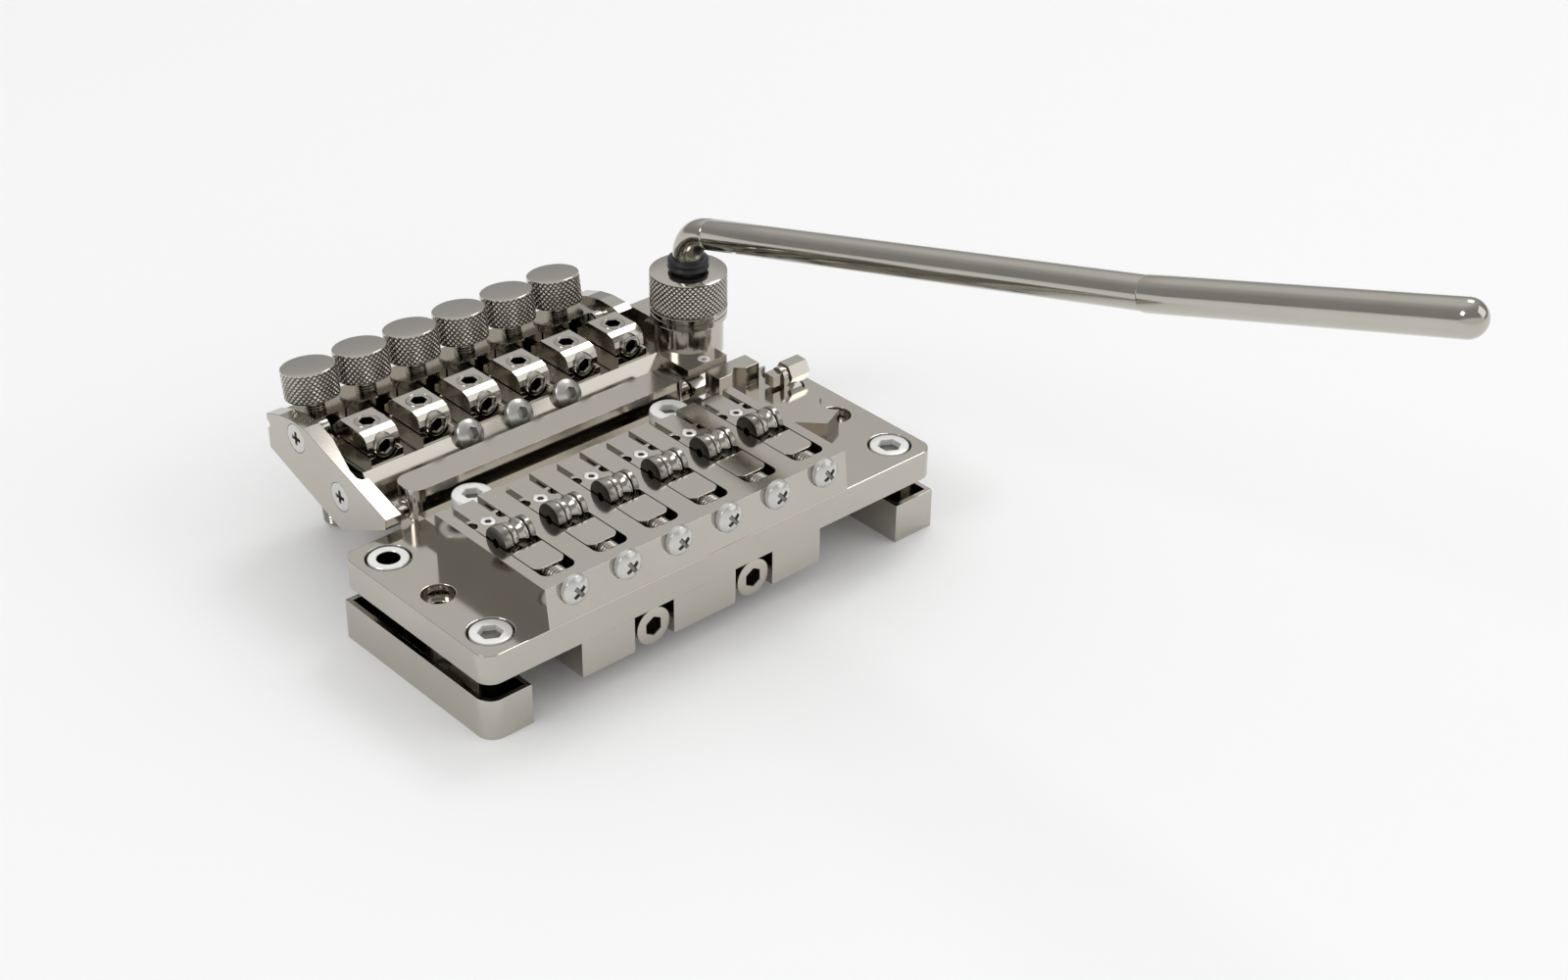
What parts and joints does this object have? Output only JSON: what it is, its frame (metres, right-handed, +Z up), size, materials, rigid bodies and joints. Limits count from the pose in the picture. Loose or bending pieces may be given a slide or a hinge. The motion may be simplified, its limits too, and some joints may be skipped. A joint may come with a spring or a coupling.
{
  "type": "guitar vibrato bridge",
  "caption": "Six-string guitar vibrato bridge: roller saddles in a frame on a footed base plate, tilting tail with string clamps and knurled tuner knobs, and a swinging arm",
  "frame": {"origin": "middle of the four corner screws and of the two plain mounting holes, on the plane that the feet stand on", "axes": "+X runs across the strings from bass to treble, +Y along the strings away from the neck, +Z up"},
  "size_m": [0.0994, 0.1792, 0.0835],
  "materials": {
    "nickel": "warm grey polished nickel",
    "screw_steel": "bright plated steel",
    "dark_steel": "dark turned steel",
    "spring_steel": "drawn spring wire",
    "rubber": "matt black rubber"
  },
  "bodies": {
    "base": {"base_plate": "nickel", "left_foot": "nickel", "right_foot": "nickel", "foot_spacers": "dark_steel", "corner_screws": "screw_steel", "saddle_frame": "nickel", "frame_screws": "screw_steel", "spring_block": "nickel", "spring_anchors": "dark_steel", "block_screws": "screw_steel", "tension_springs": "spring_steel", "saddle_springs": "spring_steel", "pivot_block": "nickel", "pivot_pins": "dark_steel", "pivot_washers": "dark_steel", "lock_plate": "nickel"},
    "tail": {"tail_body": "nickel", "left_side_plate": "nickel", "right_side_plate": "nickel", "side_plate_screws": "screw_steel", "dome_screws": "screw_steel", "clamp_pivot_rod": "dark_steel", "arm_block": "nickel", "lug_screw": "screw_steel"},
    "arm": {"arm": "nickel", "arm_bush": "rubber"},
    "collar": {"collar_nut": "nickel"},
    "lock": {"lock_screw": "screw_steel"},
    "tension_1": {"tension_screw_1": "screw_steel"},
    "tension_2": {"tension_screw_2": "screw_steel"},
    "tuner_1": {"knob_1": "nickel"},
    "clamp_1": {"clamp_1": "nickel"},
    "intonation_1": {"intonation_screw_1": "screw_steel"},
    "saddle_1": {"saddle_1": "nickel"},
    "roller_1": {"roller_1": "nickel"},
    "tuner_2": {"knob_2": "nickel"},
    "clamp_2": {"clamp_2": "nickel"},
    "intonation_2": {"intonation_screw_2": "screw_steel"},
    "saddle_2": {"saddle_2": "nickel"},
    "roller_2": {"roller_2": "nickel"},
    "tuner_3": {"knob_3": "nickel"},
    "clamp_3": {"clamp_3": "nickel"},
    "intonation_3": {"intonation_screw_3": "screw_steel"},
    "saddle_3": {"saddle_3": "nickel"},
    "roller_3": {"roller_3": "nickel"},
    "tuner_4": {"knob_4": "nickel"},
    "clamp_4": {"clamp_4": "nickel"},
    "intonation_4": {"intonation_screw_4": "screw_steel"},
    "saddle_4": {"saddle_4": "nickel"},
    "roller_4": {"roller_4": "nickel"},
    "tuner_5": {"knob_5": "nickel"},
    "clamp_5": {"clamp_5": "nickel"},
    "intonation_5": {"intonation_screw_5": "screw_steel"},
    "saddle_5": {"saddle_5": "nickel"},
    "roller_5": {"roller_5": "nickel"},
    "tuner_6": {"knob_6": "nickel"},
    "clamp_6": {"clamp_6": "nickel"},
    "intonation_6": {"intonation_screw_6": "screw_steel"},
    "saddle_6": {"saddle_6": "nickel"},
    "roller_6": {"roller_6": "nickel"}
  },
  "joints": [
    {"name": "tail_tilt", "type": "hinge", "parent": "base", "child": "tail", "pos_m": [-0.00415, 0.0229, 0.0172], "axis": [1, 0, 0], "range_deg": [0, 18], "stiffness_Nm_per_rad": 1.2, "springref_deg": -11.46},
    {"name": "arm_swing", "type": "hinge", "parent": "tail", "child": "arm", "pos_m": [0.0354, 0.0312, 0.03], "axis": [0, 0, 1], "continuous": true},
    {"name": "collar_turn", "type": "hinge", "parent": "tail", "child": "collar", "pos_m": [0.0354, 0.0312, 0.03], "axis": [0, 0, 1], "continuous": true},
    {"name": "lock_turn", "type": "hinge", "parent": "base", "child": "lock", "pos_m": [0.04, 0.011, 0.0204], "axis": [1, 0, 0], "range_deg": [-360, 360]},
    {"name": "tension_turn_1", "type": "hinge", "parent": "base", "child": "tension_1", "pos_m": [-0.0148, -0.0192, 0.0071], "axis": [0, -1, 0], "range_deg": [-720, 720]},
    {"name": "tension_turn_2", "type": "hinge", "parent": "base", "child": "tension_2", "pos_m": [0.0065, -0.0192, 0.0071], "axis": [0, -1, 0], "range_deg": [-720, 720]},
    {"name": "tuner_turn_1", "type": "hinge", "parent": "tail", "child": "tuner_1", "pos_m": [-0.0304, 0.05283, 0.02323], "axis": [0, -0.1392, -0.9903], "range_deg": [0, 360]},
    {"name": "clamp_rock_1", "type": "hinge", "parent": "tail", "child": "clamp_1", "pos_m": [-0.0304, 0.0431, 0.019], "axis": [-1, 0, 0], "range_deg": [0, 3.4]},
    {"name": "intonation_turn_1", "type": "hinge", "parent": "base", "child": "intonation_1", "pos_m": [-0.0304, -0.0186, 0.0212], "axis": [0, -1, 0], "range_deg": [0, 1800]},
    {"name": "saddle_slide_1", "type": "slide", "parent": "base", "child": "saddle_1", "axis": [0, 1, 0], "range_m": [0, 0.0025]},
    {"name": "roller_spin_1", "type": "hinge", "parent": "saddle_1", "child": "roller_1", "pos_m": [-0.0304, -0.0032, 0.0231], "axis": [1, 0, 0], "continuous": true},
    {"name": "tuner_turn_2", "type": "hinge", "parent": "tail", "child": "tuner_2", "pos_m": [-0.0199, 0.05283, 0.02323], "axis": [0, -0.1392, -0.9903], "range_deg": [0, 360]},
    {"name": "clamp_rock_2", "type": "hinge", "parent": "tail", "child": "clamp_2", "pos_m": [-0.0199, 0.0431, 0.019], "axis": [-1, 0, 0], "range_deg": [0, 3.4]},
    {"name": "intonation_turn_2", "type": "hinge", "parent": "base", "child": "intonation_2", "pos_m": [-0.0199, -0.0186, 0.0212], "axis": [0, -1, 0], "range_deg": [0, 1800]},
    {"name": "saddle_slide_2", "type": "slide", "parent": "base", "child": "saddle_2", "axis": [0, 1, 0], "range_m": [0, 0.0025]},
    {"name": "roller_spin_2", "type": "hinge", "parent": "saddle_2", "child": "roller_2", "pos_m": [-0.0199, -0.0032, 0.0231], "axis": [1, 0, 0], "continuous": true},
    {"name": "tuner_turn_3", "type": "hinge", "parent": "tail", "child": "tuner_3", "pos_m": [-0.0094, 0.05283, 0.02323], "axis": [0, -0.1392, -0.9903], "range_deg": [0, 360]},
    {"name": "clamp_rock_3", "type": "hinge", "parent": "tail", "child": "clamp_3", "pos_m": [-0.0094, 0.0431, 0.019], "axis": [-1, 0, 0], "range_deg": [0, 3.4]},
    {"name": "intonation_turn_3", "type": "hinge", "parent": "base", "child": "intonation_3", "pos_m": [-0.0094, -0.0186, 0.0212], "axis": [0, -1, 0], "range_deg": [0, 1800]},
    {"name": "saddle_slide_3", "type": "slide", "parent": "base", "child": "saddle_3", "axis": [0, 1, 0], "range_m": [0, 0.0025]},
    {"name": "roller_spin_3", "type": "hinge", "parent": "saddle_3", "child": "roller_3", "pos_m": [-0.0094, -0.0032, 0.0231], "axis": [1, 0, 0], "continuous": true},
    {"name": "tuner_turn_4", "type": "hinge", "parent": "tail", "child": "tuner_4", "pos_m": [0.0011, 0.05283, 0.02323], "axis": [0, -0.1392, -0.9903], "range_deg": [0, 360]},
    {"name": "clamp_rock_4", "type": "hinge", "parent": "tail", "child": "clamp_4", "pos_m": [0.0011, 0.0431, 0.019], "axis": [-1, 0, 0], "range_deg": [0, 3.4]},
    {"name": "intonation_turn_4", "type": "hinge", "parent": "base", "child": "intonation_4", "pos_m": [0.0011, -0.0186, 0.0212], "axis": [0, -1, 0], "range_deg": [0, 1800]},
    {"name": "saddle_slide_4", "type": "slide", "parent": "base", "child": "saddle_4", "axis": [0, 1, 0], "range_m": [0, 0.0025]},
    {"name": "roller_spin_4", "type": "hinge", "parent": "saddle_4", "child": "roller_4", "pos_m": [0.0011, -0.0032, 0.0231], "axis": [1, 0, 0], "continuous": true},
    {"name": "tuner_turn_5", "type": "hinge", "parent": "tail", "child": "tuner_5", "pos_m": [0.0116, 0.05283, 0.02323], "axis": [0, -0.1392, -0.9903], "range_deg": [0, 360]},
    {"name": "clamp_rock_5", "type": "hinge", "parent": "tail", "child": "clamp_5", "pos_m": [0.0116, 0.0431, 0.019], "axis": [-1, 0, 0], "range_deg": [0, 3.4]},
    {"name": "intonation_turn_5", "type": "hinge", "parent": "base", "child": "intonation_5", "pos_m": [0.0116, -0.0186, 0.0212], "axis": [0, -1, 0], "range_deg": [0, 1800]},
    {"name": "saddle_slide_5", "type": "slide", "parent": "base", "child": "saddle_5", "axis": [0, 1, 0], "range_m": [0, 0.0025]},
    {"name": "roller_spin_5", "type": "hinge", "parent": "saddle_5", "child": "roller_5", "pos_m": [0.0116, -0.0032, 0.0231], "axis": [1, 0, 0], "continuous": true},
    {"name": "tuner_turn_6", "type": "hinge", "parent": "tail", "child": "tuner_6", "pos_m": [0.0221, 0.05283, 0.02323], "axis": [0, -0.1392, -0.9903], "range_deg": [0, 360]},
    {"name": "clamp_rock_6", "type": "hinge", "parent": "tail", "child": "clamp_6", "pos_m": [0.0221, 0.0431, 0.019], "axis": [-1, 0, 0], "range_deg": [0, 3.4]},
    {"name": "intonation_turn_6", "type": "hinge", "parent": "base", "child": "intonation_6", "pos_m": [0.0221, -0.0186, 0.0212], "axis": [0, -1, 0], "range_deg": [0, 1800]},
    {"name": "saddle_slide_6", "type": "slide", "parent": "base", "child": "saddle_6", "axis": [0, 1, 0], "range_m": [0, 0.0025]},
    {"name": "roller_spin_6", "type": "hinge", "parent": "saddle_6", "child": "roller_6", "pos_m": [0.0221, -0.0032, 0.0231], "axis": [1, 0, 0], "continuous": true}
  ],
  "couplings": [
    {"joint": "tuner_turn_1", "follows": "clamp_rock_1", "ratio": 104.93},
    {"joint": "intonation_turn_1", "follows": "saddle_slide_1", "rad_per_m": 12566},
    {"joint": "tuner_turn_2", "follows": "clamp_rock_2", "ratio": 104.93},
    {"joint": "intonation_turn_2", "follows": "saddle_slide_2", "rad_per_m": 12566},
    {"joint": "tuner_turn_3", "follows": "clamp_rock_3", "ratio": 104.93},
    {"joint": "intonation_turn_3", "follows": "saddle_slide_3", "rad_per_m": 12566},
    {"joint": "tuner_turn_4", "follows": "clamp_rock_4", "ratio": 104.93},
    {"joint": "intonation_turn_4", "follows": "saddle_slide_4", "rad_per_m": 12566},
    {"joint": "tuner_turn_5", "follows": "clamp_rock_5", "ratio": 104.93},
    {"joint": "intonation_turn_5", "follows": "saddle_slide_5", "rad_per_m": 12566},
    {"joint": "tuner_turn_6", "follows": "clamp_rock_6", "ratio": 104.93},
    {"joint": "intonation_turn_6", "follows": "saddle_slide_6", "rad_per_m": 12566}
  ]
}
